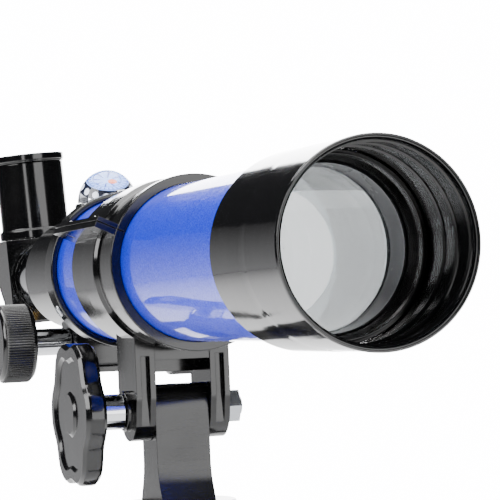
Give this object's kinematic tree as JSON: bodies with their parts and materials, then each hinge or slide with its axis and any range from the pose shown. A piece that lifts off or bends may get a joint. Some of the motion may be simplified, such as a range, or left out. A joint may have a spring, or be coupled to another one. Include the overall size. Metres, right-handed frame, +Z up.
{
  "type": "telescope on tripod",
  "caption": "Small refracting telescope with dew shield, star diagonal, dome compass and ring-clamp fork mount, on a folding tabletop tripod.",
  "frame": {"origin": "on the floor, midway along the telescope and midway between the rear feet", "axes": "+X across the telescope towards the side without the altitude knob, +Y back towards the eyepiece, +Z up"},
  "size_m": [0.304, 0.4964, 0.4093],
  "materials": {
    "black_plastic": "glossy moulded",
    "grey_plastic": "semi-gloss moulded",
    "mount_plastic": "semi-gloss moulded",
    "blue_paint": "metallic flake lacquer",
    "chrome_trim": "polished plate",
    "steel_screws": "bright zinc",
    "leg_tube": "anodised satin",
    "brass_gear": "machined",
    "lens_glass": "coated",
    "mirror_glass": "front-silvered",
    "compass_dome": "clear moulded",
    "compass_card": "printed",
    "foot_rubber": "matte"
  },
  "bodies": {
    "tripod_hub": {"tripod_hub": "mount_plastic", "leg_pin_1": "steel_screws", "leg_pin_2": "steel_screws", "leg_pin_3": "steel_screws"},
    "mount_head": {"mount_head": "mount_plastic"},
    "cradle": {"tube_cradle": "mount_plastic", "clamp_hinge_pin": "steel_screws", "altitude_nut": "chrome_trim"},
    "cradle_cap": {"cradle_cap": "mount_plastic"},
    "clamp_screw_1": {"clamp_screw_1": "steel_screws"},
    "clamp_screw_2": {"clamp_screw_2": "steel_screws"},
    "altitude_knob": {"altitude_knob": "mount_plastic", "altitude_hub": "chrome_trim", "altitude_bolt": "chrome_trim"},
    "optical_tube": {"main_tube": "blue_paint", "objective_cell": "black_plastic", "crown_lens": "lens_glass", "flint_lens": "lens_glass", "lens_retaining_ring": "grey_plastic", "tube_baffle": "black_plastic", "focuser_housing": "black_plastic", "housing_screw_1": "steel_screws", "housing_screw_2": "steel_screws", "housing_screw_3": "steel_screws", "compass_base": "black_plastic", "compass_dome": "compass_dome", "pinion_cover": "black_plastic"},
    "dew_shield": {"dew_shield": "black_plastic"},
    "compass_card": {"compass_card": "compass_card"},
    "drawtube": {"drawtube": "chrome_trim", "focus_rack": "brass_gear"},
    "drawtube_thumbscrew": {"drawtube_thumbscrew": "chrome_trim"},
    "diagonal": {"diagonal_housing": "black_plastic", "diagonal_mirror": "mirror_glass", "diagonal_cover": "black_plastic", "eyepiece_holder": "black_plastic"},
    "eyepiece_thumbscrew": {"eyepiece_thumbscrew": "chrome_trim"},
    "eyepiece": {"eyepiece_barrel": "black_plastic", "eye_lens": "lens_glass", "field_lens": "lens_glass"},
    "focus_drive": {"focus_shaft": "chrome_trim", "focus_pinion": "brass_gear", "focus_knob_left": "black_plastic", "focus_knob_right": "black_plastic"},
    "pan_lock_knob": {"pan_lock_knob": "mount_plastic"},
    "leg_1": {"leg_hinge_block_1": "mount_plastic", "upper_leg_1": "leg_tube"},
    "leg_collar_1": {"leg_collar_1": "mount_plastic"},
    "lower_leg_1": {"lower_leg_1": "leg_tube", "leg_foot_1": "foot_rubber"},
    "leg_2": {"leg_hinge_block_2": "mount_plastic", "upper_leg_2": "leg_tube"},
    "leg_collar_2": {"leg_collar_2": "mount_plastic"},
    "lower_leg_2": {"lower_leg_2": "leg_tube", "leg_foot_2": "foot_rubber"},
    "leg_3": {"leg_hinge_block_3": "mount_plastic", "upper_leg_3": "leg_tube"},
    "leg_collar_3": {"leg_collar_3": "mount_plastic"},
    "lower_leg_3": {"lower_leg_3": "leg_tube", "leg_foot_3": "foot_rubber"}
  },
  "joints": [
    {"name": "pan", "type": "hinge", "parent": "tripod_hub", "child": "mount_head", "pos_m": [0, -0.01025, 0.23917], "axis": [0, 0, 1], "continuous": true},
    {"name": "altitude_tilt", "type": "hinge", "parent": "mount_head", "child": "cradle", "pos_m": [0, -0.01025, 0.28547], "axis": [-1, 0, 0], "range_deg": [-30, 60]},
    {"name": "altitude_knob_turn", "type": "hinge", "parent": "cradle", "child": "altitude_knob", "pos_m": [0, -0.01025, 0.28547], "axis": [-1, 0, 0], "range_deg": [-180, 180]},
    {"name": "cradle_cap_open", "type": "hinge", "parent": "cradle", "child": "cradle_cap", "pos_m": [0.03773, -0.01525, 0.32841], "axis": [0, 1, 0], "range_deg": [0, 100]},
    {"name": "clamp_screw_1_turn", "type": "hinge", "parent": "cradle_cap", "child": "clamp_screw_1", "pos_m": [-0.03635, -0.03485, 0.36092], "axis": [0.4019, 0, 0.9157], "range_deg": [-180, 180]},
    {"name": "clamp_screw_2_turn", "type": "hinge", "parent": "cradle_cap", "child": "clamp_screw_2", "pos_m": [-0.03635, 0.00435, 0.36092], "axis": [0.4019, 0, 0.9157], "range_deg": [-180, 180]},
    {"name": "tube_slide", "type": "slide", "parent": "cradle", "child": "optical_tube", "axis": [0, 1, 0], "range_m": [-0.025, 0.03]},
    {"name": "dew_shield_slide", "type": "slide", "parent": "optical_tube", "child": "dew_shield", "axis": [0, -1, 0], "range_m": [0, 0.03]},
    {"name": "compass_card_turn", "type": "hinge", "parent": "optical_tube", "child": "compass_card", "pos_m": [0, 0.08375, 0.38357], "axis": [0, -0.4067, 0.9135], "continuous": true},
    {"name": "drawtube_slide", "type": "slide", "parent": "optical_tube", "child": "drawtube", "axis": [0, 1, 0], "range_m": [-0.03, 0.03]},
    {"name": "focus_turn", "type": "hinge", "parent": "optical_tube", "child": "focus_drive", "pos_m": [0, 0.11175, 0.31392], "axis": [-1, 0, 0], "range_deg": [-265.4, 265.4]},
    {"name": "diagonal_turn", "type": "hinge", "parent": "drawtube", "child": "diagonal", "pos_m": [0, 0.22175, 0.34497], "axis": [0, 1, 0], "continuous": true},
    {"name": "drawtube_thumbscrew_turn", "type": "hinge", "parent": "drawtube", "child": "drawtube_thumbscrew", "pos_m": [0, 0.18475, 0.34497], "axis": [1, 0, 0], "range_deg": [-180, 180]},
    {"name": "eyepiece_slide", "type": "slide", "parent": "diagonal", "child": "eyepiece", "axis": [-0.0663, 0, 0.9978], "range_m": [0, 0.022]},
    {"name": "eyepiece_thumbscrew_turn", "type": "hinge", "parent": "diagonal", "child": "eyepiece_thumbscrew", "pos_m": [-0.00323, 0.22175, 0.39366], "axis": [0, 1, 0], "range_deg": [-180, 180]},
    {"name": "pan_lock_turn", "type": "hinge", "parent": "tripod_hub", "child": "pan_lock_knob", "pos_m": [0, -0.01025, 0.23017], "axis": [0, 1, 0], "range_deg": [-180, 180]},
    {"name": "leg_fold_1", "type": "hinge", "parent": "tripod_hub", "child": "leg_1", "pos_m": [0, -0.04225, 0.22517], "axis": [1, 0, 0], "range_deg": [0, 28]},
    {"name": "leg_collar_1_turn", "type": "hinge", "parent": "leg_1", "child": "leg_collar_1", "pos_m": [0, -0.04225, 0.22517], "axis": [0, -0.5, -0.866], "range_deg": [-90, 90]},
    {"name": "leg_extend_1", "type": "slide", "parent": "leg_1", "child": "lower_leg_1", "axis": [0, -0.5, -0.866], "range_m": [-0.03, 0.06]},
    {"name": "leg_fold_2", "type": "hinge", "parent": "tripod_hub", "child": "leg_2", "pos_m": [0.02771, 0.00575, 0.22517], "axis": [-0.5, 0.866, 0], "range_deg": [0, 28]},
    {"name": "leg_collar_2_turn", "type": "hinge", "parent": "leg_2", "child": "leg_collar_2", "pos_m": [0.02771, 0.00575, 0.22517], "axis": [0.433, 0.25, -0.866], "range_deg": [-90, 90]},
    {"name": "leg_extend_2", "type": "slide", "parent": "leg_2", "child": "lower_leg_2", "axis": [0.433, 0.25, -0.866], "range_m": [-0.03, 0.06]},
    {"name": "leg_fold_3", "type": "hinge", "parent": "tripod_hub", "child": "leg_3", "pos_m": [-0.02771, 0.00575, 0.22517], "axis": [-0.5, -0.866, 0], "range_deg": [0, 28]},
    {"name": "leg_collar_3_turn", "type": "hinge", "parent": "leg_3", "child": "leg_collar_3", "pos_m": [-0.02771, 0.00575, 0.22517], "axis": [-0.433, 0.25, -0.866], "range_deg": [-90, 90]},
    {"name": "leg_extend_3", "type": "slide", "parent": "leg_3", "child": "lower_leg_3", "axis": [-0.433, 0.25, -0.866], "range_m": [-0.03, 0.06]}
  ],
  "couplings": [
    {"joint": "focus_turn", "follows": "drawtube_slide", "rad_per_m": 153.85}
  ]
}
